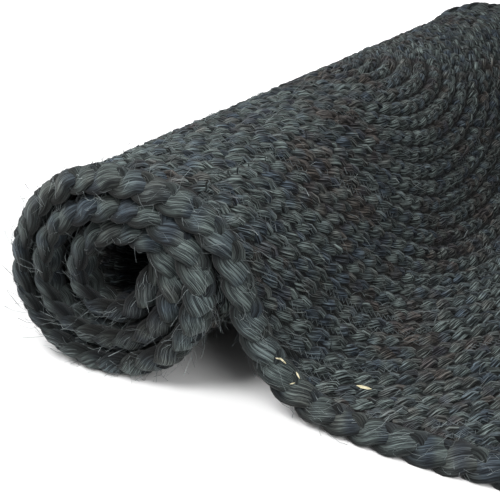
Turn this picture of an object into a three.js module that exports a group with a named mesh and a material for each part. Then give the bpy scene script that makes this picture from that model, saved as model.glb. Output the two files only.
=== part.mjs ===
// Jute rug, partly rolled up: a panel of narrow sewn braid inside a thick edge braid.
// Millimetres, +Z up. X is the way the rug rolls, with the roll at low X and the loose end at high X.
// Y runs along the roll, from the near side at low Y to the far side at high Y.

import * as THREE from 'three';

// Driving dimensions of the rug laid flat
const RUG_LENGTH = 1400;
const RUG_WIDTH = 700;
const EDGE_WIDTH = 26;
const EDGE_THICKNESS = 16;
const FIELD_THICKNESS = 11;
const SEAM_GAP = 0.3;

// Each strand of the edge braid shows as a lobe, first on one side of the braid and then on the other
const LOBE_SPACING = 17;
const LOBE_DEPTH = 1.8;

// The roll, seen from the near side: from the rug's inner end it winds clockwise and outwards.
// It leans, so that its top lies further towards the loose end than its foot.
const ROLL_CENTRE_HEIGHT = 71.7;
const ROLL_LEAN = 0.155;
const QUARTER_TURN = Math.PI / 2;
const INNER_END_AT_QUARTER = 0.6;
const POINTS_PER_QUARTER = 7;
const WINDING = [
  // side of the roll, radius to the middle of the rug's thickness
  { side: 'top', radius: 20 },
  { side: 'right', radius: 29 },
  { side: 'bottom', radius: 28.5 },
  { side: 'left', radius: 30.5 },
  { side: 'top', radius: 30 },
  { side: 'right', radius: 50 },
  { side: 'bottom', radius: 46.5 },
  { side: 'left', radius: 55 },
  { side: 'top', radius: 48 },
  { side: 'right', radius: 70.5 },
  { side: 'bottom', radius: 63.7 },
  { side: 'left', radius: 72.7 },
  { side: 'top', radius: 66.5 },
];
// How far the rug's sides have shifted towards the near side, along Y, at lengths from the inner end
const DRIFT = [
  { length: 0, drift: 3 },
  { length: 420, drift: 11 },
  { length: 880, drift: 11 },
  { length: 1050, drift: 2 },
  { length: 1170, drift: 9 },
];

// Where the rug falls from the top of the roll to the floor: the edge bulges over the roll and then hangs
// steeply, and the foot of the middle stands a little further out.
// Both are the middle of the rug's thickness, and the last row of each is where it lies flat.
const FALL_AT_EDGE = [
  { x: 38, z: 135.5 },
  { x: 61, z: 128 },
  { x: 81, z: 113 },
  { x: 92, z: 94 },
  { x: 97, z: 74 },
  { x: 105, z: 54 },
  { x: 120, z: 31 },
  { x: 141, z: 16 },
  { x: 165, z: 9.5 },
  { x: 189, z: 8 },
];
const FALL_IN_MIDDLE = [
  { x: 38, z: 135 },
  { x: 60, z: 124.5 },
  { x: 76, z: 110 },
  { x: 88.5, z: 93 },
  { x: 98.5, z: 76 },
  { x: 107.5, z: 58 },
  { x: 118, z: 40 },
  { x: 131, z: 25 },
  { x: 148, z: 14.5 },
  { x: 170, z: 9.5 },
  { x: 194, z: 8 },
];
// The change from edge to middle takes place over this width of the rug
const EDGE_HANG_WIDTH = 86;

// How finely the solids follow the rug
const FLAT_RUNS = [60, 120, 240, 480];
const DENSE_STEPS = 24;
const FIELD_STEP = 10;
const HANG_COLUMNS = 5;
const EDGE_ROUNDING = 3.5;

const FIELD_COLOUR = 0x3b4041;
const EDGE_COLOUR = 0x3d4344;

// The rug's line through the whole roll up to its top, in X and Z
function windingPoints() {
  const quarters = WINDING.length - 1 - INNER_END_AT_QUARTER;
  const steps = Math.round(quarters * POINTS_PER_QUARTER);
  const points = [];
  for (let i = 0; i <= steps; i++) {
    const quarter = INNER_END_AT_QUARTER + (i / steps) * quarters;
    const angle = (1 - quarter) * QUARTER_TURN;
    const radius = smoothRadius(quarter);
    const rise = radius * Math.sin(angle);
    const x = radius * Math.cos(angle) + ROLL_LEAN * rise;
    points.push(new THREE.Vector3(x, 0, ROLL_CENTRE_HEIGHT + rise));
  }
  return points;
}

// The radius between two rows of the winding, through the rows on both sides of them
function smoothRadius(quarter) {
  const i = Math.min(Math.floor(quarter), WINDING.length - 2);
  const t = quarter - i;
  const row = (k) => WINDING[THREE.MathUtils.clamp(k, 0, WINDING.length - 1)].radius;
  const rise = (k) => (row(k + 1) - row(k - 1)) / 2;
  const t2 = t * t;
  const t3 = t2 * t;
  const from = row(i) * (2 * t3 - 3 * t2 + 1) + rise(i) * (t3 - 2 * t2 + t);
  const to = row(i + 1) * (3 * t2 - 2 * t3) + rise(i + 1) * (t3 - t2);
  return from + to;
}

// A smooth line that can be asked for the point and the outward direction at a length from the inner end.
// Nothing of it goes below the floor, so that the roll rests on a small flat spot.
function midline(fall) {
  const slope = fall.map((row) => new THREE.Vector3(row.x, 0, row.z));
  const last = slope[slope.length - 1];
  const flat = FLAT_RUNS.map((run) => new THREE.Vector3(last.x + run, 0, last.z));
  const curve = new THREE.CatmullRomCurve3([...windingPoints(), ...slope, ...flat], false, 'centripetal');
  const dense = curve.getPoints(curve.points.length * DENSE_STEPS);
  for (const point of dense) {
    point.z = Math.max(point.z, EDGE_THICKNESS / 2);
  }
  const lengths = [0];
  for (let i = 1; i < dense.length; i++) {
    lengths.push(lengths[i - 1] + dense[i].distanceTo(dense[i - 1]));
  }
  return (length) => {
    const after = lengths.findIndex((reached) => reached > length);
    const i = Math.max(after, 1);
    const share = (length - lengths[i - 1]) / (lengths[i] - lengths[i - 1]);
    const point = dense[i - 1].clone().lerp(dense[i], share);
    const along = dense[i].clone().sub(dense[i - 1]).normalize();
    return { point, out: new THREE.Vector3(-along.z, 0, along.x) };
  };
}

function driftAt(length) {
  const next = DRIFT.findIndex((row) => row.length > length);
  if (next < 0) {
    return DRIFT[DRIFT.length - 1].drift;
  }
  const from = DRIFT[next - 1];
  const to = DRIFT[next];
  const share = THREE.MathUtils.smoothstep(length, from.length, to.length);
  return THREE.MathUtils.lerp(from.drift, to.drift, share);
}

const edgeLine = midline(FALL_AT_EDGE);
const middleLine = midline(FALL_IN_MIDDLE);

// From the rug laid flat to the rug as it lies: u along its length from the inner end, v across it
// from the near side, and w out of the middle of its thickness
function place(u, v, w) {
  const fromSide = Math.min(v, RUG_WIDTH - v);
  const share = THREE.MathUtils.smoothstep(fromSide, 0, EDGE_HANG_WIDTH);
  const atEdge = edgeLine(u);
  const inMiddle = middleLine(u);
  const point = atEdge.point.lerp(inMiddle.point, share);
  const out = atEdge.out.lerp(inMiddle.out, share).normalize();
  return point.addScaledVector(out, w).setY(v - driftAt(u));
}

// A closed solid from rings of points. Each ring goes along the underside and back along the face,
// so that its ends can be closed by strips between the two.
function solidFromRings(rings) {
  const count = rings[0].length;
  const half = count / 2;
  const positions = rings.flat().flatMap((point) => point.toArray());
  const indices = [];
  for (let k = 0; k < rings.length - 1; k++) {
    for (let i = 0; i < count; i++) {
      const a = k * count + i;
      const b = k * count + ((i + 1) % count);
      indices.push(a, b, b + count, a, b + count, a + count);
    }
  }
  const lastRing = (rings.length - 1) * count;
  for (let i = 0; i < half - 1; i++) {
    const across = [i, i + 1, count - 2 - i, count - 1 - i];
    const [a, b, c, d] = across;
    indices.push(c, b, a, d, c, a);
    const [e, f, g, h] = across.map((corner) => corner + lastRing);
    indices.push(e, f, g, e, g, h);
  }
  const geometry = new THREE.BufferGeometry();
  geometry.setAttribute('position', new THREE.Float32BufferAttribute(positions, 3));
  geometry.setIndex(indices);
  geometry.computeVertexNormals();
  return geometry;
}

// The panel of narrow braid, as one sheet between the edge braids
function fieldPanel() {
  const first = EDGE_WIDTH + SEAM_GAP;
  const step = (EDGE_HANG_WIDTH - first) / HANG_COLUMNS;
  const nearColumns = Array.from({ length: HANG_COLUMNS + 1 }, (_, i) => first + i * step);
  const farColumns = nearColumns.map((v) => RUG_WIDTH - v).reverse();
  const columns = [...nearColumns, ...farColumns];
  const length = RUG_LENGTH - 2 * first;
  const steps = Math.round(length / FIELD_STEP);
  const rings = [];
  for (let k = 0; k <= steps; k++) {
    const u = first + (length * k) / steps;
    const underside = columns.map((v) => place(u, v, -FIELD_THICKNESS / 2));
    const face = columns.map((v) => place(u, v, FIELD_THICKNESS / 2)).reverse();
    rings.push([...underside, ...face]);
  }
  return solidFromRings(rings);
}

// The edge braid's section at one strand's lobe, as distance in from the rug's edge and height.
// The underside stays flat, and the face and the outer side swell and sink with the lobes.
function edgeSection(lobeIsOuter) {
  const half = EDGE_THICKNESS / 2;
  const outerSink = lobeIsOuter ? 0 : LOBE_DEPTH;
  const innerSink = lobeIsOuter ? LOBE_DEPTH : 0;
  const outer = outerSink;
  const inner = EDGE_WIDTH - innerSink;
  const underside = [
    [outer, -half + EDGE_ROUNDING],
    [outer + EDGE_ROUNDING, -half],
    [inner - EDGE_ROUNDING, -half],
    [inner, -half + EDGE_ROUNDING],
  ];
  const face = [
    [inner, half - EDGE_ROUNDING - innerSink],
    [inner - EDGE_ROUNDING, half - innerSink],
    [outer + EDGE_ROUNDING, half - outerSink],
    [outer, half - EDGE_ROUNDING - outerSink],
  ];
  return [...underside, ...face];
}

// One length of edge braid. Its route gives the place on the flat rug, and runs round the rug
// with the rug always on the same hand.
function edgeBraid(length, route) {
  const steps = Math.round(length / (LOBE_SPACING / 2));
  const rings = [];
  for (let k = 0; k <= steps; k++) {
    const along = (length * k) / steps;
    const section = edgeSection(k % 2 === 0);
    rings.push(section.map(([inward, w]) => place(...route(along, inward), w)));
  }
  return solidFromRings(rings);
}

const END_START = EDGE_WIDTH + SEAM_GAP;
const END_LENGTH = RUG_WIDTH - 2 * END_START;
const EDGES = [
  {
    node: 'edge_braid_near',
    length: RUG_LENGTH,
    route: (along, inward) => [along, inward],
  },
  {
    node: 'edge_braid_flat_end',
    length: END_LENGTH,
    route: (along, inward) => [RUG_LENGTH - inward, END_START + along],
  },
  {
    node: 'edge_braid_far',
    length: RUG_LENGTH,
    route: (along, inward) => [RUG_LENGTH - along, RUG_WIDTH - inward],
  },
  {
    node: 'edge_braid_rolled_end',
    length: END_LENGTH,
    route: (along, inward) => [inward, RUG_WIDTH - END_START - along],
  },
];

function named(name, geometry, colour) {
  const material = new THREE.MeshStandardMaterial({ color: colour, roughness: 0.92, metalness: 0 });
  const mesh = new THREE.Mesh(geometry, material);
  mesh.name = name;
  return mesh;
}

const rug = new THREE.Group();
rug.add(named('field_panel', fieldPanel(), FIELD_COLOUR));
for (const edge of EDGES) {
  rug.add(named(edge.node, edgeBraid(edge.length, edge.route), EDGE_COLOUR));
}

// The origin is under the middle of the rug's outer box
const box = new THREE.Box3().setFromObject(rug);
const middle = box.getCenter(new THREE.Vector3());
rug.position.set(-middle.x, -middle.y, -box.min.z);

export default rug;
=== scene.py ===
# %% [markdown]
# # A jute rug, partly rolled up
# The rug is 70 x 140 cm and dyed charcoal. One long, narrow braid of three jute strands winds round and
# round, and a zigzag thread sews each row to the one before. A thick braid of three broad strands is sewn
# round the outside. About two thirds of the length is rolled up, and the rest falls to the floor and lies
# there.
#
# Here the rug is drawn flat, as its maker would lay it out, and one map takes every flat point to its place
# in the rolled rug. So each row is laid out once, with plain geometry, and the roll, the fall and the floor
# come free.

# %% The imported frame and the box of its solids
import bpy
import numpy as np
from functools import partial
from math import radians, sin, cos, pi
from mathutils import Matrix, Vector


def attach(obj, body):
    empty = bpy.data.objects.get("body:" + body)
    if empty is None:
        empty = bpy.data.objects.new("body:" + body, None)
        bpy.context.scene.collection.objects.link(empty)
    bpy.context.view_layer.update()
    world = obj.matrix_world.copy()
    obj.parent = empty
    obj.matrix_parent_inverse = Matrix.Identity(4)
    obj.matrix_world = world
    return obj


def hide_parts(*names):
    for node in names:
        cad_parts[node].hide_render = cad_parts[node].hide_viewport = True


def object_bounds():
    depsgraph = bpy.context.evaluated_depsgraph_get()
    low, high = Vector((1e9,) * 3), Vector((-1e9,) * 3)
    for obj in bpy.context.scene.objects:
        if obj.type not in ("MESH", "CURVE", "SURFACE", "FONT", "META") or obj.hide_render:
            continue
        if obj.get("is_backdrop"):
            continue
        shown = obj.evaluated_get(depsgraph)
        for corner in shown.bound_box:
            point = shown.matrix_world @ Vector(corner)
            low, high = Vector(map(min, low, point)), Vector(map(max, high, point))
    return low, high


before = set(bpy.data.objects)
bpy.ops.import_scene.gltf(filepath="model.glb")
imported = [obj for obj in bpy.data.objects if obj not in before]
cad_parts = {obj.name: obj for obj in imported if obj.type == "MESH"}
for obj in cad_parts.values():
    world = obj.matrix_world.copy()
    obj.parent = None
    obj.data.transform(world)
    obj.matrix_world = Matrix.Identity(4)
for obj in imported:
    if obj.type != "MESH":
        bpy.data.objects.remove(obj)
cad_low, cad_high = (np.array(corner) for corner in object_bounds())
MM = 0.001
print("solids' box in mm:", (cad_low / MM).round(1), (cad_high / MM).round(1))

# %% [markdown]
# ## Sizes of the flat rug
# Everything on the flat rug is measured in millimetres: u runs along its length from the end that is rolled
# up inside, v runs across it from the near side, and w rises out of the middle of its thickness.

# %% Sizes of the rug laid flat
RUG_LENGTH = 1400
RUG_WIDTH = 700
EDGE_WIDTH = 26
EDGE_THICKNESS = 16
FIELD_START = EDGE_WIDTH + 0.3
FIELD_WIDTH = RUG_WIDTH - 2 * FIELD_START
ROWS_ACROSS = 45
ROW_PITCH = FIELD_WIDTH / ROWS_ACROSS
print(f"{ROWS_ACROSS} rows across, {ROW_PITCH:.2f} mm each")

# %% [markdown]
# ## The line of the roll
# Seen from the near side the rug winds outwards, clockwise. A plain spiral would look machine made: the real
# turns sag and press on each other. So the radius is given at each quarter turn, and a smooth curve runs
# through it.

# %% Radius at each quarter turn, and the slope down to the floor
ROLL_CENTRE_HEIGHT = 71.7
ROLL_LEAN = 0.155
INNER_END_AT_QUARTER = 0.6
POINTS_PER_QUARTER = 7
WINDING = [
    # side of the roll, radius to the middle of the rug's thickness
    ("top", 20), ("right", 29), ("bottom", 28.5), ("left", 30.5),
    ("top", 30), ("right", 50), ("bottom", 46.5), ("left", 55),
    ("top", 48), ("right", 70.5), ("bottom", 63.7), ("left", 72.7),
    ("top", 66.5),
]
# (x, height) of the middle of the rug's thickness, from the top of the roll to where it lies flat
FALL_AT_EDGE = [
    (38, 135.5), (61, 128), (81, 113), (92, 94), (97, 74), (105, 54), (120, 31), (141, 16), (165, 9.5),
    (189, 8),
]
FALL_IN_MIDDLE = [
    (38, 135), (60, 124.5), (76, 110), (88.5, 93), (98.5, 76), (107.5, 58), (118, 40), (131, 25), (148, 14.5),
    (170, 9.5), (194, 8),
]
FLAT_RUNS = [60, 120, 240, 480]
DENSE_STEPS = 24


def winding_points():
    """The roll's line from the inner end to its top, as rows of x and height."""
    radii = np.array([radius for side, radius in WINDING])
    quarters = len(radii) - 1 - INNER_END_AT_QUARTER
    steps = round(quarters * POINTS_PER_QUARTER)
    quarter = INNER_END_AT_QUARTER + np.arange(steps + 1) / steps * quarters
    i = np.minimum(quarter.astype(int), len(radii) - 2)
    t = quarter - i
    row = lambda k: radii[np.clip(k, 0, len(radii) - 1)]
    rise = lambda k: (row(k + 1) - row(k - 1)) / 2
    radius = row(i) * (2 * t**3 - 3 * t**2 + 1) + rise(i) * (t**3 - 2 * t**2 + t)
    radius = radius + row(i + 1) * (3 * t**2 - 2 * t**3) + rise(i + 1) * (t**3 - t**2)
    angle = (1 - quarter) * pi / 2
    height = radius * np.sin(angle)
    return np.stack([radius * np.cos(angle) + ROLL_LEAN * height, ROLL_CENTRE_HEIGHT + height], 1)


print(len(winding_points()), "points along", len(WINDING) - 1, "quarter turns")

# %% [markdown]
# A curve through the points has to turn evenly even where they stand unevenly, so it is a centripetal
# Catmull-Rom curve. Nothing goes below half the edge braid's thickness, so the roll and the loose end rest
# flat on the floor.

# %% A line that answers for any length along the rug
def smooth_curve(points):
    points = np.array(points, float)
    ends = np.vstack([2 * points[0] - points[1], points, 2 * points[-1] - points[-2]])
    t = (np.arange(DENSE_STEPS) / DENSE_STEPS)[:, None]
    spans = []
    for p0, p1, p2, p3 in zip(ends, ends[1:], ends[2:], ends[3:]):
        d0, d1, d2 = (np.linalg.norm(b - a) ** 0.5 for a, b in ((p0, p1), (p1, p2), (p2, p3)))
        leave = ((p1 - p0) / d0 - (p2 - p0) / (d0 + d1) + (p2 - p1) / d1) * d1
        arrive = ((p2 - p1) / d1 - (p3 - p1) / (d1 + d2) + (p3 - p2) / d2) * d1
        rise, bend = -3 * p1 + 3 * p2 - 2 * leave - arrive, 2 * p1 - 2 * p2 + leave + arrive
        spans.append(p1 + leave * t + rise * t**2 + bend * t**3)
    return np.vstack(spans + [points[-1:]])


class RugLine:
    """The middle of the rug's thickness in a plane across the roll."""

    def __init__(self, fall):
        flat = [(fall[-1][0] + run, fall[-1][1]) for run in FLAT_RUNS]
        self.points = smooth_curve(np.vstack([winding_points(), fall, flat]))
        self.points[:, 1] = np.maximum(self.points[:, 1], EDGE_THICKNESS / 2)
        steps = np.diff(self.points, axis=0)
        sizes = np.linalg.norm(steps, axis=1)
        self.lengths = np.concatenate([[0], np.cumsum(sizes)])
        self.directions = steps / np.maximum(sizes, 1e-9)[:, None]

    def at(self, u):
        """Point and outward direction at a length from the inner end."""
        x, z = (np.interp(u, self.lengths, self.points[:, i]) for i in (0, 1))
        i = np.clip(np.searchsorted(self.lengths, u, side="right") - 1, 0, len(self.directions) - 1)
        along = self.directions[i]
        return np.stack([x, z], -1), np.stack([-along[..., 1], along[..., 0]], -1)


edge_line, middle_line = RugLine(FALL_AT_EDGE), RugLine(FALL_IN_MIDDLE)
print("the line runs for", round(middle_line.lengths[-1]), "mm, and the rug takes", RUG_LENGTH)

# %% [markdown]
# ## The map from flat to lying
# The sides of the rug fall a little closer to the roll than its middle, so each point blends between two
# lines over a hand's width. The turns also drift sideways as they do when a rug is rolled by hand.

# %% The map: flat (u, v, w) in millimetres to metres in the room
EDGE_HANG_WIDTH = 86
DRIFT = [
    # length from the inner end, shift towards the near side
    (0, 3), (420, 11), (880, 11), (1050, 2), (1170, 9),
]


def smoothstep(value, start, end):
    t = np.clip((value - start) / (end - start), 0, 1)
    return t * t * (3 - 2 * t)


def drift_at(u):
    shift = np.full(np.shape(u), float(DRIFT[-1][1]))
    for (start, before), (end, after) in zip(DRIFT, DRIFT[1:]):
        inside = (u >= start) & (u < end)
        shift = np.where(inside, before + (after - before) * smoothstep(u, start, end), shift)
    return shift


def lie(u, v, w):
    u, v, w = np.broadcast_arrays(*(np.asarray(x, float) for x in (u, v, w)))
    share = smoothstep(np.minimum(v, RUG_WIDTH - v), 0, EDGE_HANG_WIDTH)[..., None]
    at_edge, edge_out = edge_line.at(u)
    at_middle, middle_out = middle_line.at(u)
    out = edge_out * (1 - share) + middle_out * share
    point = at_edge * (1 - share) + at_middle * share
    point = point + out / np.linalg.norm(out, axis=-1, keepdims=True) * w[..., None]
    return np.stack([point[..., 0], v - drift_at(u), point[..., 1]], -1) * MM


# The solids' origin is under the middle of their box: the loose end has its highest X, the drift its lowest Y
loose_end = lie(RUG_LENGTH, RUG_WIDTH / 2, 0)
box_shift = np.array([cad_high[0] - loose_end[0], cad_low[1] + DRIFT[1][1] * MM, 0])


def place(u, v, w):
    return lie(u, v, w) + box_shift


def directions(u, v):
    """Outward direction, and the directions of growing u and v, at points of the rug."""
    out = place(u, v, 1) - place(u, v, -1)
    along = place(u + 0.5, v, 0) - place(u - 0.5, v, 0)
    across = place(u, v + 0.5, 0) - place(u, v - 0.5, 0)
    return [d / np.linalg.norm(d, axis=-1, keepdims=True) for d in (out, along, across)]


print("near corner of the loose end:", place(RUG_LENGTH, 0, 0).round(4))

# %% [markdown]
# ## Nodes
# One helper adds a node, sets its properties and fills or links its inputs. Both the shapes and the materials
# below are made with it.

# %% The helper, and colours
def add_node(tree, kind, inputs=(), get=0, **settings):
    """One node. Inputs pair a socket with a value or a link. Gives one output, or with get=None the node."""
    node = tree.nodes.new(kind)
    for name, value in settings.items():
        setattr(node, name, value)
    for key, value in dict(inputs).items():
        if isinstance(value, bpy.types.NodeSocket):
            tree.links.new(value, node.inputs[key])
        else:
            node.inputs[key].default_value = value
    return node if get is None else node.outputs[get]


def linear(hex_colour):
    """An sRGB colour such as '#3b4041' as linear light, with an opacity of one."""
    parts = [int(hex_colour[i:i + 2], 16) / 255 for i in (1, 3, 5)]
    return [c / 12.92 if c <= 0.04045 else ((c + 0.055) / 1.055) ** 2.4 for c in parts] + [1]


print("charcoal in linear light:", [round(c, 3) for c in linear("#3b4041")])

# %% [markdown]
# ## Finishes
# Jute is a bast fibre: each strand is a bundle of long, coarse, slightly shiny fibres. Dye takes unevenly, so
# a charcoal rug has greenish, bluish and reddish lengths, with pale fibres where the dye didn't reach. The
# fibre pattern is drawn in the strand's own coordinates: its cross section (ring) and the length along it
# (along), so it runs along every strand however that twists. A real fibre is about 0.1 mm wide, too fine to
# show here, so the pattern is drawn a few times as coarse.
#
# Shade is painted on each strand: it is drawn darker on its flanks, which press against its neighbours, and
# where it dives under them. The braid's tree stores how high it runs at each point (height).

# %% Dyed jute
FIBRE_LENGTH = 9 * MM
BUNDLE_WIDTH = 0.8 * MM
BUNDLE_LENGTH = 14 * MM
DYE_LENGTH = 16 * MM
DYE_PATCH = 60 * MM
# Which cut through the random pattern is used: this one puts reddish patches on the fall from the roll
DYE_PATCH_CUT = 8
DARK_AT, MIDDLE_AT, PALE_AT = 0.66, 0.80, 0.96
BLUISH_SPAN, REDDISH_SPAN = (0.46, 0.64), (0.80, 0.96)
TINT_SHARE = 0.75
BUNDLE_SHARE = 0.6
DYE_LENGTH_SHARE = 0.6
# Painted shade: where on a strand's flank the darkening starts and how dark it gets, and how dark a strand is
# drawn where it dives under its neighbours
FLANK_FROM, FLANK_PAINTED_SHADE = 0.6, 0.3
DIVE_BELOW, DIVE_PAINTED_SHADE = 0.4, 0.25
RELIEF_STRENGTH, RELIEF_DEPTH = 0.8, 0.5 * MM
JUTE_SURFACE = {"Roughness": 0.72, "Specular IOR Level": 0.1, "Sheen Weight": 0.05, "Sheen Roughness": 0.5}


def new_finish(name):
    """A new material, with what links and adds its nodes, and the sockets of its surface."""
    material = bpy.data.materials.new(name)
    material.use_nodes = True
    tree = material.node_tree
    return material, tree.links.new, partial(add_node, tree), tree.nodes["Principled BSDF"].inputs


def jute(name, tones, bluish, reddish, half_width, fibre_width):
    """Dyed and braided jute, drawn along each strand. Its tones are dark, middle and pale."""
    material, link, add, surface = new_finish(name)
    ring = add("ShaderNodeAttribute", attribute_name="ring", get="Vector")
    along, strand, height = (
        add("ShaderNodeAttribute", attribute_name=label, get="Fac") for label in ("along", "strand", "height")
    )
    tall = add("ShaderNodeCombineXYZ", {"Z": along})
    apart = add("ShaderNodeCombineXYZ", {"X": strand, "Y": strand})
    patterns = []
    for width, length, detail in ((fibre_width, FIBRE_LENGTH, 3), (BUNDLE_WIDTH, BUNDLE_LENGTH, 1)):
        section = add("ShaderNodeVectorMath", {0: ring, 1: (1 / width,) * 3}, operation="MULTIPLY")
        run = add("ShaderNodeVectorMath", {0: tall, 1: (1 / length,) * 3}, operation="MULTIPLY")
        where = add("ShaderNodeVectorMath", {0: section, 1: run}, operation="ADD")
        where = add("ShaderNodeVectorMath", {0: where, 1: apart}, operation="ADD")
        patterns.append(add("ShaderNodeTexNoise", {
            "Vector": where, "Scale": 1, "Detail": detail, "Roughness": 0.6, "Distortion": 0.4,
        }, get="Fac"))
    fibres, bundles = patterns
    relief = add("ShaderNodeMath", {0: bundles, 1: BUNDLE_SHARE, 2: fibres}, operation="MULTIPLY_ADD")
    tone = add("ShaderNodeValToRGB", {"Fac": relief}, get=None)
    stops = tone.color_ramp.elements
    stops.new(MIDDLE_AT)
    for stop, position, colour in zip(stops, (DARK_AT, MIDDLE_AT, PALE_AT), tones):
        stop.position, stop.color = position, linear(colour)
    run = add("ShaderNodeMath", {0: along, 1: 1 / DYE_LENGTH}, operation="MULTIPLY")
    length = add("ShaderNodeCombineXYZ", {"X": strand, "Y": run})
    dye = add("ShaderNodeTexNoise", {"Vector": length, "Scale": 1, "Detail": 1}, get="Color")
    dye = add("ShaderNodeSeparateXYZ", {0: dye}, get=None).outputs
    spot = add("ShaderNodeTexCoord", get="Object")
    patch = add("ShaderNodeTexNoise", {
        "Vector": spot, "W": DYE_PATCH_CUT, "Scale": 1 / DYE_PATCH, "Detail": 4,
    }, noise_dimensions="4D", get="Fac")
    patch = add("ShaderNodeMath", {0: dye["Y"], 1: DYE_LENGTH_SHARE, 2: patch}, operation="MULTIPLY_ADD")
    colour = tone.outputs["Color"]
    for pattern, tint, (start, end) in ((dye["X"], bluish, BLUISH_SPAN), (patch, reddish, REDDISH_SPAN)):
        share = add("ShaderNodeMapRange", {0: pattern, 1: start, 2: end, 3: 0, 4: TINT_SHARE})
        colour = add("ShaderNodeMix", {
            "Factor": share, 6: colour, 7: linear(tint),
        }, data_type="RGBA", blend_type="MULTIPLY", get=2)
    # Painted shade: the colour is drawn darker towards the strand's flanks and where it runs low under its
    # neighbours
    flank = add("ShaderNodeSeparateXYZ", {0: ring}, get="Y")
    flank = add("ShaderNodeMath", {0: flank}, operation="ABSOLUTE")
    start = FLANK_FROM * half_width
    painted_shade = add("ShaderNodeMapRange", {0: flank, 1: start, 2: half_width, 3: 1.0, 4: FLANK_PAINTED_SHADE})
    dive_painted_shade = add("ShaderNodeMapRange", {0: height, 1: -1, 2: DIVE_BELOW, 3: DIVE_PAINTED_SHADE, 4: 1.0})
    painted_shade = add("ShaderNodeMath", {0: painted_shade, 1: dive_painted_shade}, operation="MULTIPLY")
    colour = add("ShaderNodeVectorMath", {0: colour, "Scale": painted_shade}, operation="SCALE")
    bump = add("ShaderNodeBump", {"Height": relief, "Strength": RELIEF_STRENGTH, "Distance": RELIEF_DEPTH})
    link(colour, surface["Base Color"])
    link(bump, surface["Normal"])
    for look, value in JUTE_SURFACE.items():
        surface[look].default_value = value
    return material


field_jute = jute(
    "jute_dyed_charcoal_narrow_braid", ("#0d0f0f", "#2c3232", "#7c8886"), "#a4aed0", "#dcb0a6",
    half_width=4.6 * MM, fibre_width=0.45 * MM,
)
edge_jute = jute(
    "jute_dyed_charcoal_broad_braid", ("#181c1e", "#373e3e", "#687371"), "#a8b2d2", "#ecdcd6",
    half_width=8.2 * MM, fibre_width=0.34 * MM,
)

# %% [markdown]
# The other finishes are plain. The thread is twisted cotton, soft and matt, and reads as one grey. A loose
# fibre is half bleached, so it runs from nearly black to pale grey. A flake is the woody stem, which takes no
# dye and keeps the colour of straw.

# %% Thread, loose fibre and flake
COLOUR_STOPS = 0.35, 0.65


def plain_finish(name, colour, second, roughness, patch):
    """One colour that drifts slowly to a second one."""
    material, link, add, surface = new_finish(name)
    spot = add("ShaderNodeTexCoord", get="Object")
    noise = add("ShaderNodeTexNoise", {"Vector": spot, "Scale": 1 / patch, "Detail": 3}, get="Fac")
    tone = add("ShaderNodeValToRGB", {"Fac": noise}, get=None)
    for stop, position, tint in zip(tone.color_ramp.elements, COLOUR_STOPS, (colour, second)):
        stop.position, stop.color = position, linear(tint)
    link(tone.outputs["Color"], surface["Base Color"])
    surface["Roughness"].default_value = roughness
    return material


sewing_thread = plain_finish("cotton_thread_grey_twisted", "#4c5456", "#767f82", 0.8, 20 * MM)
loose_fibre = plain_finish("jute_fibre_loose_faded", "#20262a", "#858e8f", 0.7, 12 * MM)
straw = plain_finish("jute_stem_flake_undyed", "#b8b08c", "#ded7ba", 0.7, 3 * MM)
print("finishes:", [m.name for m in bpy.data.materials])

# %% [markdown]
# ## Trees
# What repeats is made by Geometry Nodes. Every tree takes a shape, its sizes and its finish as named inputs,
# and all end in the same way, so both ends are written once.

# %% How a tree starts and ends
FLOOR_CLEARANCE = 0.1 * MM


def new_tree(name, sizes, counts=()):
    """An empty tree: its sizes are inputs with a fraction, its counts are whole numbers."""
    tree = bpy.data.node_groups.new(name, "GeometryNodeTree")
    sockets = [("Geometry", "Geometry")] + [(label, "Float") for label in sizes]
    sockets += [(label, "Int") for label in counts] + [("Finish", "Material")]
    for label, kind in sockets:
        tree.interface.new_socket(label, in_out="INPUT", socket_type="NodeSocket" + kind)
    tree.interface.new_socket("Geometry", in_out="OUTPUT", socket_type="NodeSocketGeometry")
    return tree, tree.nodes.new("NodeGroupInput").outputs


def finish_tree(add, geometry, finish):
    """Nothing goes into the floor, faces are smooth, and the result is real faces with their finish."""
    place_now = add("GeometryNodeInputPosition")
    parts = add("ShaderNodeSeparateXYZ", {0: place_now}, get=None).outputs
    height = add("ShaderNodeMath", {0: parts["Z"], 1: FLOOR_CLEARANCE}, operation="MAXIMUM")
    above = add("ShaderNodeCombineXYZ", {"X": parts["X"], "Y": parts["Y"], "Z": height})
    rested = add("GeometryNodeSetPosition", {"Geometry": geometry, "Position": above})
    smooth = add("GeometryNodeSetShadeSmooth", {"Geometry": rested})
    real = add("GeometryNodeRealizeInstances", {"Geometry": smooth})
    finished = add("GeometryNodeSetMaterial", {"Geometry": real, "Material": finish})
    add("NodeGroupOutput", {"Geometry": finished}, get=None)


# %% [markdown]
# ## The braid
# In a flat braid of three, every strand swings from side to side once a turn, and rises and dips twice: it
# passes over its neighbour on its way in from the edge and under it on its way out again. The three strands
# do the same a third of a turn apart. On the face that gives the two columns of plump slanting lobes of any
# plait.
#
# A Geometry Nodes tree does this for any centre line. The line's points carry the direction out of the rug
# (out), the direction across the row (side) and the length from the line's start (along). A strand is a soft
# band, so its cross section is an oval, and each point of the oval keeps its place in it (ring) for the
# finish.

# %% A strand's cross section
BRAID_SIZES = [
    "Turn length", "Swing", "Lift", "Strand width", "Strand thickness", "Plumpness", "Tipping", "Unevenness",
    "Fibre relief", "Seed",
]


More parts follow.
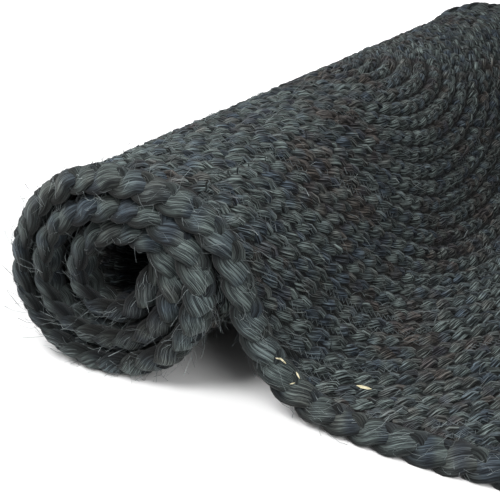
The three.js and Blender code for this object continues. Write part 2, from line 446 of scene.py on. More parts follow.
def strand_section(add, given):
    half_sizes = [
        add("ShaderNodeMath", {0: given[size], 1: 0.5}, operation="MULTIPLY")
        for size in ("Strand thickness", "Strand width")
    ]
    circle = add("GeometryNodeCurvePrimitiveCircle", {"Resolution": given["Sides"], "Radius": 1})
    oval = add("ShaderNodeCombineXYZ", {"X": half_sizes[0], "Y": half_sizes[1], "Z": 1})
    section = add("GeometryNodeTransform", {"Geometry": circle, "Scale": oval})
    spot = add("GeometryNodeInputPosition")
    return add("GeometryNodeStoreNamedAttribute", {
        "Geometry": section, "Name": "ring", "Value": spot,
    }, data_type="FLOAT_VECTOR")


print("a braid's sizes:", BRAID_SIZES)

# %% [markdown]
# No two turns of a hand-made braid are alike, so a slow noise along the line shifts each strand in time,
# lifts it and makes it thicker or thinner. The band lies flat where it crosses the middle and tips over at
# the edges.

# %% A strand's path
PLUMPEST_AT = radians(140)
WANDER = 0.9
WANDER_APART = 10.0
STRAND_APART = 7.3
TIMING_SHARE = 0.16
SIZE_SHARE = 0.5


def centred_noise(add, where, scale, amount):
    """Three noises around zero, times an amount."""
    noise = add("ShaderNodeTexNoise", {"Vector": where, "Scale": scale, "Detail": 1.0}, get="Color")
    noise = add("ShaderNodeVectorMath", {0: noise, 1: (0.5, 0.5, 0.5)}, operation="SUBTRACT")
    return add("ShaderNodeVectorMath", {0: noise, "Scale": amount}, operation="SCALE")


def strand_path(add, given, line, turns, out, side, k):
    """The path of strand k, and its thickness along the path."""
    wander = add("ShaderNodeMath", {0: given["Seed"], 1: WANDER_APART * k}, operation="ADD")
    wander = add("ShaderNodeCombineXYZ", {"X": turns, "Y": wander})
    noise = centred_noise(add, wander, WANDER, given["Unevenness"])
    uneven = add("ShaderNodeSeparateXYZ", {0: noise}, get=None).outputs

    turn = add("ShaderNodeMath", {0: uneven["X"], 1: TIMING_SHARE, 2: turns}, operation="MULTIPLY_ADD")
    phase = add("ShaderNodeMath", {0: turn, 1: 2 * pi, 2: k * 2 * pi / 3}, operation="MULTIPLY_ADD")
    double = add("ShaderNodeMath", {0: phase, 1: -2}, operation="MULTIPLY")
    sway = add("ShaderNodeMath", {0: phase}, operation="SINE")
    height = add("ShaderNodeMath", {0: double}, operation="SINE")
    swing = add("ShaderNodeMath", {0: sway, 1: given["Swing"]}, operation="MULTIPLY")
    lift = add("ShaderNodeMath", {0: height, 1: uneven["Y"], 2: height}, operation="MULTIPLY_ADD")
    lift = add("ShaderNodeMath", {0: lift, 1: given["Lift"]}, operation="MULTIPLY")
    sideways = add("ShaderNodeVectorMath", {0: side, "Scale": swing}, operation="SCALE")
    upwards = add("ShaderNodeVectorMath", {0: out, "Scale": lift}, operation="SCALE")
    offset = add("ShaderNodeVectorMath", {0: sideways, 1: upwards}, operation="ADD")
    path = add("GeometryNodeSetPosition", {"Geometry": line, "Offset": offset})

    # The direction that the band faces, square to its path
    tip = add("ShaderNodeMath", {0: sway, 1: given["Tipping"]}, operation="MULTIPLY")
    tip = add("ShaderNodeVectorMath", {0: side, "Scale": tip}, operation="SCALE")
    face = add("ShaderNodeVectorMath", {0: out, 1: tip}, operation="ADD")
    tangent = add("GeometryNodeInputTangent")
    off_plane = add("ShaderNodeVectorMath", {0: face, 1: tangent}, operation="DOT_PRODUCT", get="Value")
    lean = add("ShaderNodeVectorMath", {0: tangent, "Scale": off_plane}, operation="SCALE")
    face = add("ShaderNodeVectorMath", {0: face, 1: lean}, operation="SUBTRACT")
    face = add("ShaderNodeVectorMath", {0: face}, operation="NORMALIZE")
    path = add("GeometryNodeSetCurveNormal", {"Curve": path, "Normal": face}, mode="FREE")

    number = add("ShaderNodeMath", {0: given["Seed"], 1: STRAND_APART * k}, operation="ADD")
    for label, value, kind in (
        ("flow", tangent, "FLOAT_VECTOR"), ("height", height, "FLOAT"), ("strand", number, "FLOAT"),
    ):
        path = add("GeometryNodeStoreNamedAttribute", {
            "Geometry": path, "Name": label, "Value": value,
        }, data_type=kind)

    # It is plumpest on top and where it folds back, and thinnest where it dives under its neighbours
    size = add("ShaderNodeMath", {0: uneven["Z"], 1: SIZE_SHARE, 2: 1}, operation="MULTIPLY_ADD")
    swell = add("ShaderNodeMath", {0: double, 1: PLUMPEST_AT}, operation="SUBTRACT")
    swell = add("ShaderNodeMath", {0: swell}, operation="COSINE")
    size = add("ShaderNodeMath", {0: swell, 1: given["Plumpness"], 2: size}, operation="MULTIPLY_ADD")
    return path, size


print("a strand is plumpest", round(PLUMPEST_AT / pi * 180), "degrees into each rise and dip")

# %% [markdown]
# Under the eye a strand isn't smooth: its bundles of fibres stand up as low ridges. The ridges follow the
# same cross section and length as the finish, so the light and the colours agree.

# %% The braid's tree
def raise_bundles(add, given, strands, along):
    ring = add("GeometryNodeInputNamedAttribute", {"Name": "ring"}, data_type="FLOAT_VECTOR")
    strand = add("GeometryNodeInputNamedAttribute", {"Name": "strand"}, data_type="FLOAT")
    section = add("ShaderNodeVectorMath", {0: ring, "Scale": 1 / BUNDLE_WIDTH}, operation="SCALE")
    run = add("ShaderNodeMath", {0: along, 1: 1 / BUNDLE_LENGTH, 2: strand}, operation="MULTIPLY_ADD")
    run = add("ShaderNodeCombineXYZ", {"X": strand, "Z": run})
    where = add("ShaderNodeVectorMath", {0: section, 1: run}, operation="ADD")
    ridges = add("ShaderNodeTexNoise", {"Vector": where, "Scale": 1.0, "Detail": 1.0}, get="Fac")
    ridges = add("ShaderNodeMath", {0: ridges, 1: 0.5}, operation="SUBTRACT")
    ridges = add("ShaderNodeMath", {0: ridges, 1: given["Fibre relief"]}, operation="MULTIPLY")
    normal = add("GeometryNodeInputNormal")
    offset = add("ShaderNodeVectorMath", {0: normal, "Scale": ridges}, operation="SCALE")
    return add("GeometryNodeSetPosition", {"Geometry": strands, "Offset": offset})


def braid_tree():
    tree, given = new_tree("braid_of_three_strands", BRAID_SIZES, ["Sides"])
    add = partial(add_node, tree)
    out, side, along = (
        add("GeometryNodeInputNamedAttribute", {"Name": label}, data_type=kind)
        for label, kind in (("out", "FLOAT_VECTOR"), ("side", "FLOAT_VECTOR"), ("along", "FLOAT"))
    )
    line = add("GeometryNodeMeshToCurve", {"Mesh": given["Geometry"]})
    turns = add("ShaderNodeMath", {0: along, 1: given["Turn length"]}, operation="DIVIDE")
    section = strand_section(add, given)
    strands = add("GeometryNodeJoinGeometry", get=None)
    for k in range(3):
        path, size = strand_path(add, given, line, turns, out, side, k)
        tube = add("GeometryNodeCurveToMesh", {
            "Curve": path, "Profile Curve": section, "Scale": size, "Fill Caps": True,
        })
        tree.links.new(tube, strands.inputs[0])
    finish_tree(add, raise_bundles(add, given, strands.outputs[0], along), given["Finish"])
    return tree


braids = braid_tree()
print("braid tree:", len(braids.nodes), "nodes")

# %% [markdown]
# ## From a line to a piece
# A centre line goes into the tree as a mesh of edges. When the tree has run, its result is taken as a plain
# mesh, so the piece that is kept has no modifier and sits at the origin, like a solid of the frame.

# %% Lines in, plain meshes out
def put_in_scene(name, data):
    obj = bpy.data.objects.new(name, data)
    bpy.context.scene.collection.objects.link(obj)
    return obj


def keep_on_points(mesh, label, values):
    """Stores one number or one direction for each point of a mesh."""
    values = np.ascontiguousarray(values, np.float32)
    numbers = values.ndim == 1
    field = mesh.attributes.new(label, "FLOAT" if numbers else "FLOAT_VECTOR", "POINT")
    field.data.foreach_set("value" if numbers else "vector", values.ravel())


def line_object(name, runs):
    """Each run is (points, out, side, along), and all become one mesh of edges with these attributes."""
    points, outs, sides, alongs = (np.concatenate([run[i] for run in runs]) for i in range(4))
    starts = np.cumsum([0] + [len(run[0]) for run in runs])
    edges = np.concatenate([
        np.stack([np.arange(start, end - 1), np.arange(start + 1, end)], 1)
        for start, end in zip(starts, starts[1:])
    ])
    mesh = bpy.data.meshes.new(name)
    mesh.from_pydata(points.tolist(), edges.tolist(), [])
    for label, values in (("out", outs), ("side", sides), ("along", alongs)):
        keep_on_points(mesh, label, values)
    return put_in_scene(name, mesh)


def grow(obj, tree, **inputs):
    """Runs a tree on an object and returns its result as a new object with a plain mesh."""
    modifier = obj.modifiers.new("grow", "NODES")
    modifier.node_group = tree
    sockets = {
        item.name: item.identifier for item in tree.interface.items_tree
        if item.item_type == "SOCKET" and item.in_out == "INPUT"
    }
    for label, value in inputs.items():
        modifier[sockets[label.replace("_", " ")]] = value
    evaluated = obj.evaluated_get(bpy.context.evaluated_depsgraph_get())
    mesh = bpy.data.meshes.new_from_object(evaluated)
    name = obj.name
    obj.modifiers.remove(modifier)
    bpy.data.objects.remove(obj)
    mesh.name = name
    piece = put_in_scene(name, mesh)
    mesh.calc_loop_triangles()
    print(f"{name}: {len(mesh.loop_triangles)} triangles")
    return piece


# %% [markdown]
# ## Where the rows run
# The maker starts with a straight length of braid in the middle and winds the rest round it, row against row,
# so the rows are long ovals: straight along the rug, with a half circle at each end. Then the mat is cut
# square and the edge braid covers the cut ends. Sewn by hand, the rows waver by a few millimetres. Exactly 23
# rows fit between the start and the near side.

# %% The long spiral of the rows, on the flat rug
START_ROWS_FROM_NEAR_SIDE = 23
OVAL_START, OVAL_END = 586, 814
OVAL_MIDDLE = FIELD_START + START_ROWS_FROM_NEAR_SIDE * ROW_PITCH
ROUNDS = 49
WAVER = 1.8
WAVER_FADES_OVER = 70
FINE = 1.0


def rows_spiral(shift=0.0):
    """Points of the whole spiral about 1 mm apart, before it is cut square: u, v and the length along it."""
    us, vs = [], []
    for n in range(ROUNDS):
        reach = (n + 0.5 + shift) * ROW_PITCH
        straight = np.arange(0, 1, FINE / (OVAL_END - OVAL_START))
        bend = np.arange(0, 1, FINE / max(pi * reach, 4))
        on_u, on_v = np.sin(pi * bend), np.cos(pi * bend)
        us += [OVAL_START + straight * (OVAL_END - OVAL_START), OVAL_END + reach * on_u]
        vs += [np.full(len(straight), OVAL_MIDDLE - reach), OVAL_MIDDLE - reach * on_v]
        wider = reach + ROW_PITCH * smoothstep(bend, 0, 1)
        us += [OVAL_END - straight * (OVAL_END - OVAL_START), OVAL_START - wider * on_u]
        vs += [np.full(len(straight), OVAL_MIDDLE + reach), OVAL_MIDDLE + wider * on_v]
    u, v = np.concatenate(us), np.concatenate(vs)
    inside = smoothstep(np.minimum(v, RUG_WIDTH - v), FIELD_START, FIELD_START + WAVER_FADES_OVER)
    inside *= smoothstep(np.minimum(u, RUG_LENGTH - u), FIELD_START, FIELD_START + WAVER_FADES_OVER)
    u, v = (
        u + WAVER * inside * (np.sin(v / 37 + 1) + np.sin((u + v) / 61)),
        v + WAVER * inside * (np.sin(u / 43 + 2) + np.sin((u - v) / 67)),
    )
    along = np.concatenate([[0], np.cumsum(np.hypot(np.diff(u), np.diff(v)))])
    return u, v, along


# How far a slanting row runs in under the edge braid at most, and how fast that grows with its slant
TUCK, TUCK_RISE = 8, 12


def cut_square(u, v, half_width):
    """Which points are kept: a row ends at the edge braid, and one beside it keeps half a width away."""
    tangent = np.stack([np.gradient(u), np.gradient(v)])
    tangent = np.abs(tangent / np.linalg.norm(tangent, axis=0))
    from_ends = np.minimum(u, RUG_LENGTH - u) - FIELD_START
    from_sides = np.minimum(v, RUG_WIDTH - v) - FIELD_START
    tuck = np.minimum(TUCK_RISE * np.minimum(tangent[0], tangent[1]), TUCK)
    return (from_ends > half_width * tangent[1] - tuck) & (from_sides > half_width * tangent[0] - tuck)


def cut_runs(u, v, along, kept, step, zone, shortest=4):
    """The kept points at an even step, split wherever a point is left out or the zone changes."""
    even = np.arange(0, along[-1], step)
    u, v = np.interp(even, along, u), np.interp(even, along, v)
    kept = np.interp(even, along, kept.astype(float)) > 0.99
    label = np.where(kept, zone(u), -1)
    breaks = np.flatnonzero(np.diff(label)) + 1
    runs = {}
    for start, end in zip(np.concatenate([[0], breaks]), np.concatenate([breaks, [len(label)]])):
        if label[start] < 0:
            continue
        joined = end < len(label) and label[end] >= 0
        pick = slice(start, end + 1 if joined else end)
        if end - start >= shortest:
            runs.setdefault(int(label[start]), []).append((u[pick], v[pick], even[pick]))
    return runs


def laid_run(u, v, along, w=0.0):
    """A run of flat points as it lies, with its directions."""
    out, on_u, on_v = directions(u, v)
    du, dv = np.gradient(u), np.gradient(v)
    along_row = on_u * du[:, None] + on_v * dv[:, None]
    side = np.cross(along_row, out)
    side /= np.maximum(np.linalg.norm(side, axis=1, keepdims=True), 1e-9)
    return place(u, v, w), out, side, along * MM


ROW_TURN = 42
ROW_STEPS = 11
ROW_HALF_WIDTH = 4.0
# Where along the rug one piece of the model ends and the next starts
ZONE_ENDS = [440, 640, 800, 930, 1060, 1400]
spiral = rows_spiral()
kept = cut_square(spiral[0], spiral[1], ROW_HALF_WIDTH)
row_runs = cut_runs(*spiral, kept, ROW_TURN / ROW_STEPS, lambda u: np.searchsorted(ZONE_ENDS, u))
print("row braid:", round(sum(r[2][-1] - r[2][0] for runs in row_runs.values() for r in runs) / 1000), "m")

# %% [markdown]
# The inner turns are hidden in the roll, so their rows have half the points and four-sided strands. The rest
# is split into lengths, so that no piece of the model gets too heavy.

# %% The rows of the field
ROW_BRAID = {
    "Turn_length": ROW_TURN * MM, "Swing": 2.7 * MM, "Lift": 2.3 * MM, "Strand_width": 9.2 * MM,
    "Strand_thickness": 6.4 * MM, "Plumpness": 0.12, "Tipping": 0.6, "Unevenness": 1.5,
    "Fibre_relief": 3.0 * MM, "Seed": 1.0, "Finish": field_jute,
}
ROW_PIECES = [
    "rows_in_roll", "rows_round_roll", "rows_back_of_roll", "rows_on_top", "rows_on_fall", "rows_on_floor",
]
row_pieces = []
for number, name in enumerate(ROW_PIECES):
    hidden = number == 0
    runs = row_runs[number]
    if hidden:
        runs = [tuple(np.append(x[:-1:2], x[-1]) for x in run) for run in runs]
    lines = line_object(name, [laid_run(*run) for run in runs])
    row_pieces.append(grow(lines, braids, Sides=4 if hidden else 6, **ROW_BRAID))

# %% [markdown]
# ## The sewn ground
# Each row is sewn flank to flank to the next, which closes the rug: no light comes through. The rows are
# round, so a closed sheet along the middle of the thickness stands for those pressed flanks.

# %% A closed sheet in the middle of the thickness
GROUND_THICKNESS = 2.0
GROUND_TUCK = 4
GROUND_STEPS_ALONG = 140
GROUND_STEPS_BY_SIDE = 8


def sheet_object(name, us, vs, thickness, finish):
    """A closed sheet over a grid of flat points."""
    grid_u, grid_v = np.meshgrid(us, vs, indexing="ij")
    layers = [place(grid_u, grid_v, w).reshape(-1, 3) for w in (-thickness / 2, thickness / 2)]
    rows, columns = grid_u.shape
    index = np.arange(rows * columns).reshape(rows, columns)
    a, b, c, d = index[:-1, :-1], index[1:, :-1], index[1:, 1:], index[:-1, 1:]
    upper = np.stack([a, b, c, d], -1).reshape(-1, 4) + rows * columns
    lower = np.stack([a, d, c, b], -1).reshape(-1, 4)
    rim = np.concatenate([index[:-1, 0], index[-1, :-1], index[:0:-1, -1], index[0, :0:-1]])
    after = np.roll(rim, -1)
    wall = np.stack([rim, after, after + rows * columns, rim + rows * columns], 1)
    mesh = bpy.data.meshes.new(name)
    mesh.from_pydata(np.vstack(layers).tolist(), [], np.vstack([upper, lower, wall]).tolist())
    mesh.materials.append(finish)
    flat_u, flat_v = np.tile(grid_u.ravel(), 2), np.tile(grid_v.ravel(), 2)
    # Painted shade: a ring Y of one metre lies past every strand's flank, so the whole sheet is drawn at the
    # jute's full flank shade
    ring = np.stack([flat_v * MM, np.ones(len(flat_v)), np.zeros(len(flat_v))], 1)
    keep_on_points(mesh, "ring", ring)
    keep_on_points(mesh, "along", flat_u * MM)
    return put_in_scene(name, mesh)


ground_start = FIELD_START - GROUND_TUCK
ground_u = np.linspace(ground_start, RUG_LENGTH - ground_start, GROUND_STEPS_ALONG)
ground_v = np.append(np.linspace(ground_start, EDGE_HANG_WIDTH, GROUND_STEPS_BY_SIDE), RUG_WIDTH / 2)
ground_v = np.concatenate([ground_v, RUG_WIDTH - ground_v[-2::-1]])
ground = sheet_object("sewn_ground", ground_u, ground_v, GROUND_THICKNESS, field_jute)
print("ground faces:", len(ground.data.polygons))

# %% [markdown]
# ## The edge braid
# The same tree makes the thick edge braid, from three broad strands. Its centre line runs once round the rug,
# with the corners turned on a small radius, and the turns are counted so that the last meets the first.
#
# It was plaited tighter in the half that is rolled up than in the half on the floor, so the length along it
# runs ahead of the real one there and falls back again (its slack).

# %% Centre line round the rug, in four lengths
EDGE_TURNS = 74
SLACK = 100 * MM
SLACK_AT = radians(95)
CORNER = 14
EDGE_STEPS = 24
CORNER_POINTS = 24
SIDE_POINTS = 1300
inset = EDGE_WIDTH / 2


def edge_routes():
    """The four lengths of the edge braid as flat points, 1 mm apart or less. The long ones take the corners."""
    bend = np.linspace(0, pi / 2, CORNER_POINTS)
    low_u, high_u, low_v, high_v = inset, RUG_LENGTH - inset, inset, RUG_WIDTH - inset
    corner = lambda cu, cv, start: (cu + CORNER * np.cos(start + bend), cv + CORNER * np.sin(start + bend))
    first = corner(low_u + CORNER, low_v + CORNER, pi)
    second = corner(high_u - CORNER, low_v + CORNER, 1.5 * pi)
    third = corner(high_u - CORNER, high_v - CORNER, 0)
    fourth = corner(low_u + CORNER, high_v - CORNER, 0.5 * pi)
    between = lambda a, b: tuple(np.linspace(a[i][-1], b[i][0], SIDE_POINTS) for i in (0, 1))
    join = lambda *parts: tuple(np.concatenate([part[i] for part in parts]) for i in (0, 1))
    return {
        "edge_braid_near": join(first, between(first, second), second),
        "edge_braid_flat_end": join(between(second, third)),
        "edge_braid_far": join(third, between(third, fourth), fourth),
        "edge_braid_rolled_end": join(between(fourth, first)),
    }


routes = edge_routes()
round_the_rug = sum(np.hypot(np.diff(u), np.diff(v)).sum() for u, v in routes.values())
EDGE_TURN = round_the_rug / EDGE_TURNS
print(f"edge braid: {round_the_rug:.0f} mm round, {EDGE_TURN:.1f} mm a turn")

# %% [markdown]
# Each length becomes a piece of its own. The strands are broad and thin, and tip right over at the edges.

# %% The four lengths of edge braid
EDGE_BRAID = {
    "Turn_length": EDGE_TURN * MM, "Swing": 4.4 * MM, "Lift": 2.7 * MM, "Strand_width": 17.5 * MM,
    "Strand_thickness": 9 * MM, "Sides": 14, "Plumpness": 0.1, "Tipping": 1.0, "Unevenness": 1.1,
    "Fibre_relief": 2.2 * MM, "Seed": 3.0, "Finish": edge_jute,
}
edge_pieces = {}
so_far = 0.0
for node, (u, v) in routes.items():
    reached = np.concatenate([[0], np.cumsum(np.hypot(np.diff(u), np.diff(v)))])
    even = np.linspace(0, reached[-1], round(reached[-1] / (EDGE_TURN / EDGE_STEPS)) + 1)
    u, v = np.interp(even, reached, u), np.interp(even, reached, v)
    points, out, side, along = laid_run(u, v, even + so_far)
    share_round = along / MM / round_the_rug
    along = along + SLACK * np.cos(share_round * 2 * pi - SLACK_AT)
    line = line_object(node + "_plaited", [(points, out, side, along)])
    edge_pieces[node] = grow(line, braids, **EDGE_BRAID)
    so_far += reached[-1]

# %% [markdown]
# ## Sewing thread
# A zigzag stitch crosses from row to row. Most of it has sunk between the strands, and here and there a few
# thin stitches lie on top.

# %% Zigzag stitches between the rows
STITCH_LENGTH = 4.6
STITCH_WIDTH = 5.0
STITCH_HEIGHT = 3.7
THREAD = 0.45
STITCH_CLEAR = 8
STITCHES_FROM = 470
SHOWS_ABOVE = 1.6


def cord_tree():
    tree, given = new_tree("thread_along_line", ["Thickness"])
    add = partial(add_node, tree)
    line = add("GeometryNodeMeshToCurve", {"Mesh": given["Geometry"]})
    half = add("ShaderNodeMath", {0: given["Thickness"], 1: 0.5}, operation="MULTIPLY")
    section = add("GeometryNodeCurvePrimitiveCircle", {"Resolution": 3, "Radius": half})
    tube = add("GeometryNodeCurveToMesh", {"Curve": line, "Profile Curve": section, "Fill Caps": True})
    finish_tree(add, tube, given["Finish"])
    return tree


def stitch_runs():
    """Zigzag lines where the stitches show, on the turns that can be seen."""
    u, v, along = rows_spiral(0.5)
    kept = cut_square(u, v, STITCH_CLEAR)
    show = np.sin(along / 61) + np.sin(along / 23.7 + 1) + np.sin(along / 149 + 2) > SHOWS_ABOVE
    seen = lambda u: np.where(u > STITCHES_FROM, 0, -1)
    runs = cut_runs(u, v, along, kept & show, STITCH_LENGTH / 2, seen, shortest=3)
    lines = []
    for u, v, along in runs[0]:
        points, out, side, along = laid_run(u, v, along, STITCH_HEIGHT)
        swing = np.where(np.arange(len(u)) % 2, 1, -1) * STITCH_WIDTH / 2 * MM
        lines.append((points + side * swing[:, None], out, side, along))
    return lines


thread_line = line_object("zigzag_thread", stitch_runs())
stitches = grow(thread_line, cord_tree(), Thickness=THREAD * MM, Finish=sewing_thread)

# %% [markdown]
# ## Loose fibres
# Jute sheds: every strand has fibre ends that stand off it. A tree spreads points over a braid, puts a short
# bent fibre on each, turns it at random and bends it a little more. Fibres stand on the faces that look out
# of the rug (above Lowest), and are thickest at the near side, where the picture shows them.

# %% The tree for loose fibres
FIBRE_SIZES = ["Density", "Length", "Thickness", "Lowest", "Curl"]
# Over which Y in metres the fibres thin out, and what share of them the far side has
THICKEST_AT, THINNEST_AT, FAR_SHARE = -0.3, 0.2, 0.15
BOW_SHARE, BEND_SHARE = 0.14, 0.4
CURL_WAVE = 9 * MM
TURN_LEAST, TURN_MOST = (-0.2, -0.3, -0.7), (0.2, 0.2, 0.7)
SHORTEST, LONGEST = 0.35, 1.5


def fibre_tree():
    tree, given = new_tree("loose_fibres", FIBRE_SIZES, ["Seed"])
    add = partial(add_node, tree)
    normal = add("GeometryNodeInputNormal")
    out = add("GeometryNodeInputNamedAttribute", {"Name": "out"}, data_type="FLOAT_VECTOR")
    upper = add("ShaderNodeVectorMath", {0: normal, 1: out}, operation="DOT_PRODUCT", get="Value")
    upper = add("FunctionNodeCompare", {0: upper, 1: given["Lowest"]}, operation="GREATER_THAN")
    spot = add("GeometryNodeInputPosition")
    spot = add("ShaderNodeSeparateXYZ", {0: spot}, get="Y")
    share = add("ShaderNodeMapRange", {0: spot, 1: THICKEST_AT, 2: THINNEST_AT, 3: 1.0, 4: FAR_SHARE})
    density = add("ShaderNodeMath", {0: given["Density"], 1: share}, operation="MULTIPLY")
    spread = add("GeometryNodeDistributePointsOnFaces", {
        "Mesh": given["Geometry"], "Density": density, "Selection": upper, "Seed": given["Seed"],
    }, get=None)
    half = add("ShaderNodeMath", {0: given["Thickness"], 1: 0.5}, operation="MULTIPLY")
    bow = add("ShaderNodeMath", {0: given["Length"], 1: BOW_SHARE}, operation="MULTIPLY")
    way = add("ShaderNodeMath", {0: given["Length"], 1: BEND_SHARE}, operation="MULTIPLY")
    middle = add("ShaderNodeCombineXYZ", {"X": way, "Z": bow})
    end = add("ShaderNodeCombineXYZ", {"X": given["Length"], "Z": bow})
    arc = add("GeometryNodeCurveQuadraticBezier", {
        "Resolution": 2, "Start": (0, 0, 0), "Middle": middle, "End": end,
    })
    reach = add("GeometryNodeSplineParameter", get="Factor")
    arc = add("GeometryNodeStoreNamedAttribute", {
        "Geometry": arc, "Name": "reach", "Value": reach,
    }, data_type="FLOAT")
    section = add("GeometryNodeCurvePrimitiveCircle", {"Resolution": 3, "Radius": half})
    fibre = add("GeometryNodeCurveToMesh", {"Curve": arc, "Profile Curve": section, "Fill Caps": True})
    seed = given["Seed"]
    flow = add("GeometryNodeInputNamedAttribute", {"Name": "flow"}, data_type="FLOAT_VECTOR")
    with_strand = add("FunctionNodeAlignRotationToVector", {
        "Rotation": spread.outputs["Rotation"], "Vector": flow,
    }, axis="X", pivot_axis="Z")
    turn = add("FunctionNodeRandomValue", {
        0: TURN_LEAST, 1: TURN_MOST, "Seed": seed,
    }, data_type="FLOAT_VECTOR")
    turn = add("FunctionNodeEulerToRotation", {0: turn})
    rotation = add("FunctionNodeRotateRotation", {0: with_strand, 1: turn}, rotation_space="LOCAL")
    size = add("FunctionNodeRandomValue", {2: SHORTEST, 3: LONGEST, "Seed": seed}, data_type="FLOAT", get=1)
    size = add("ShaderNodeCombineXYZ", {"X": size, "Y": 1.0, "Z": size})
    placed = add("GeometryNodeInstanceOnPoints", {
        "Points": spread.outputs["Points"], "Instance": fibre, "Rotation": rotation, "Scale": size,
    })
    real = add("GeometryNodeRealizeInstances", {"Geometry": placed})
    spot = add("GeometryNodeInputPosition")
    reached = add("GeometryNodeInputNamedAttribute", {"Name": "reach"}, data_type="FLOAT")
    much = add("ShaderNodeMath", {0: reached, 1: given["Curl"]}, operation="MULTIPLY")
    offset = centred_noise(add, spot, 1 / CURL_WAVE, much)
    curled = add("GeometryNodeSetPosition", {"Geometry": real, "Offset": offset})
    finish_tree(add, curled, given["Finish"])
    return tree


fibres = fibre_tree()
print("fibre tree:", len(fibres.nodes), "nodes")

# %% [markdown]
# The rows shed short fibres. The edge braid is rubbed most, so it sheds longer ones, thickest at the near
# side, and a few very long ends stand off it there.

# %% Fibres on the rows and on the edge braid
ROW_FUZZ = {"Density": 9000.0, "Length": 8 * MM, "Thickness": 0.22 * MM, "Lowest": 0.3, "Curl": 14 * MM}
EDGE_FUZZ = {"Density": 7000.0, "Length": 12 * MM, "Thickness": 0.18 * MM, "Lowest": -0.6, "Curl": 14 * MM}
LONG_ENDS = {"Density": 500.0, "Length": 17 * MM, "Thickness": 0.2 * MM, "Lowest": -0.4, "Curl": 16 * MM}
NEAR_SIDE = "edge_braid_near"
NEAR_SIDE_DENSITY = 14000.0


def fuzz(source, name, sizes, seed):
    """Loose fibres on a copy of a braid's mesh."""
    return grow(put_in_scene(name, source.data.copy()), fibres, Finish=loose_fibre, Seed=seed, **sizes)


row_fuzz = [fuzz(piece, piece.name + "_fuzz", ROW_FUZZ, 10 + n) for n, piece in enumerate(row_pieces[1:])]
edge_fuzz = []
for number, (node, piece) in enumerate(edge_pieces.items()):
    sizes = EDGE_FUZZ | {"Density": NEAR_SIDE_DENSITY} if node == NEAR_SIDE else EDGE_FUZZ
    edge_fuzz.append(fuzz(piece, node + "_fuzz", sizes, 30 + number))
edge_fuzz.append(fuzz(edge_pieces[NEAR_SIDE], "long_fibre_ends", LONG_ENDS, 50))

# %% [markdown]
# ## Flakes of stem
# A few bits of the pale stem of the plant are still caught in the braid: four thin ones by the edge and one
# broad one in the field.

# %% Pale flakes
FLAKES = [
    # u, v and w of the middle, length, width, direction in degrees from +u towards +v
    (1052, 6, 10.5, 7, 1.2, 50), (1055, 8, 10.5, 7, 1.2, 15), (1070, 11, 10, 6, 0.9, -20),
    (1072, 3, 9, 5, 0.9, 70), (1105, 45, 6.2, 10, 3.8, 20),
]
FLAKE_HALF_THICKNESS = 0.6
# Place along the flake and share of its full width there
SPINDLE = [(-0.5, 0.15), (-0.2, 1), (0.25, 0.8), (0.5, 0.1)]


def flake_mesh(name):
    """Each flake is a thin six-sided spindle."""
    vertices, faces = [], []
    for u, v, w, length, width, angle in FLAKES:
        first = len(vertices)
        turn = radians(angle)
        ahead, across = np.array([cos(turn), sin(turn)]), np.array([-sin(turn), cos(turn)])
        for share, reach in SPINDLE:
            for k in range(6):
                swing = 2 * pi * k / 6
                flat = np.array([u, v]) + ahead * length * share + across * width / 2 * reach * cos(swing)
                height = w + FLAKE_HALF_THICKNESS * reach * sin(swing)
                vertices.append(place(flat[0], flat[1], height).tolist())
        for ring in range(3):
            for k in range(6):
                a, b = first + ring * 6 + k, first + ring * 6 + (k + 1) % 6
                faces.append((a, a + 6, b + 6, b))
        faces += [tuple(first + k for k in range(6)), tuple(first + 18 + k for k in range(5, -1, -1))]
    mesh = bpy.data.meshes.new(name)
    mesh.from_pydata(vertices, [], faces)
    mesh.materials.append(straw)
    return put_in_scene(name, mesh)


flakes = flake_mesh("stem_flakes")
print(len(FLAKES), "flakes")

# %% [markdown]
# ## Which solid each piece stands for
# The ground and the rows stand for the solid of the field, and each length of edge braid for its own.

# %% Tying the pieces to the frame
for piece in [ground] + row_pieces:
    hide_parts("field_panel")
for node, piece in edge_pieces.items():
    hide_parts(node)
edge_parts = list(edge_pieces.values())
others = row_pieces + edge_parts + row_fuzz + edge_fuzz + [stitches, flakes]
for piece in [ground] + others:
    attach(piece, "root")
print(len(others) + 1, "pieces,", sum(len(p.data.polygons) for p in others), "faces")

# %% [markdown]
# ## Camera
# The photograph was taken from the near side of the roll with a long lens, looking down at about 22 degrees
# and turned by about 30 degrees, so that the end of the roll and the slope of the rug both show.

# %% Camera
CAMERA_PLACE = Vector((0.2505, -0.9122, 0.3734))
CAMERA_DOWN = radians(21.7)
CAMERA_TURN = radians(30.5)
FOCAL_PIXELS, PICTURE_PIXELS = 1186, 500
SENSOR_WIDTH = 36

camera_data = bpy.data.cameras.new("camera")
camera_data.sensor_width = SENSOR_WIDTH
camera_data.lens = SENSOR_WIDTH * FOCAL_PIXELS / PICTURE_PIXELS
camera = put_in_scene("camera", camera_data)
ahead = Vector((-sin(CAMERA_TURN) * cos(CAMERA_DOWN), cos(CAMERA_TURN) * cos(CAMERA_DOWN), -sin(CAMERA_DOWN)))
rightwards = Vector((cos(CAMERA_TURN), sin(CAMERA_TURN), 0))
upwards = rightwards.cross(ahead)
axes = Matrix((rightwards, upwards, -ahead)).transposed().to_4x4()
camera.matrix_world = Matrix.Translation(CAMERA_PLACE) @ axes
bpy.context.scene.camera = camera
print("lens:", round(camera_data.lens, 1), "mm")

# %% [markdown]
# ## Floor and light
# A pale painted floor and soft light from all round give the picture's white ground and its soft shadow under
# the roll. The room is darker on the right. Two small lamps in front light the end of the roll most, so the
# far part of the rug is darker, and a broad lamp over the floor behind keeps the background white.

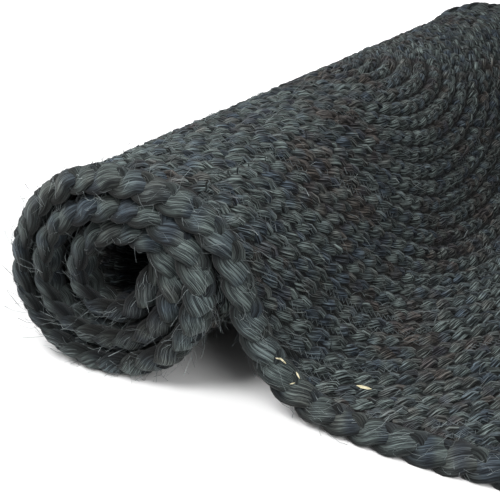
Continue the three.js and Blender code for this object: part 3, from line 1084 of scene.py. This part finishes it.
# %% Floor
FLOOR_REACH = 6
floor_mesh = bpy.data.meshes.new("floor")
corners = [(FLOOR_REACH * x, FLOOR_REACH * y, 0) for x, y in ((-1, -1), (1, -1), (1, 1), (-1, 1))]
floor_mesh.from_pydata(corners, [], [(0, 1, 2, 3)])
floor_mesh.materials.append(plain_finish("floor_painted_white", "#e5e5e5", "#e7e7e7", 0.9, 1.0))
put_in_scene("floor", floor_mesh)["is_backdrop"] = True
print("floor:", 2 * FLOOR_REACH, "m across")

# %% Light
SKY_BRIGHTNESS = 0.42
SKY_SLOPE = (-0.42, -0.1, -0.05)

world = bpy.data.worlds.new("soft_white_room")
world.use_nodes = True
sky = world.node_tree
direction = add_node(sky, "ShaderNodeTexCoord", get="Generated")
lean = add_node(sky, "ShaderNodeVectorMath", {
    0: direction, 1: SKY_SLOPE,
}, operation="DOT_PRODUCT", get="Value")
strength = add_node(sky, "ShaderNodeMath", {0: lean, 1: SKY_BRIGHTNESS}, operation="ADD")
sky.nodes["Background"].inputs["Color"].default_value = linear("#ffffff")
sky.links.new(strength, sky.nodes["Background"].inputs["Strength"])
bpy.context.scene.world = world


def area_light(name, place_at, aim, size, power, spread=180):
    data = bpy.data.lights.new(name, "AREA")
    data.size, data.energy, data.spread = size, power, radians(spread)
    lamp = put_in_scene(name, data)
    lamp.location = place_at
    lamp.rotation_euler = (Vector(aim) - Vector(place_at)).to_track_quat("-Z", "Y").to_euler()


area_light("lamp_front_left", (-0.35, -0.75, 0.75), (-0.1, -0.25, 0.05), size=0.4, power=8.0)
area_light("lamp_front_right", (0.55, -0.75, 0.45), (0.05, -0.25, 0.05), size=0.4, power=5.2)
area_light("lamp_over_backdrop", (-2.1, 1.1, 1.8), (-2.1, 1.1, 0), size=2.4, power=190, spread=60)
bpy.context.scene.view_settings.view_transform = "Standard"
print("lamps:", [lamp.name for lamp in bpy.data.lights])

# %% The box of the finished model
low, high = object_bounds()
sizes = {"cad": [cad_low, cad_high], "model": [low, high]}
sizes = {name: [[float(x) for x in corner] for corner in corners] for name, corners in sizes.items()}
print("model's box in mm:", (np.array(low) / MM).round(1), (np.array(high) / MM).round(1))
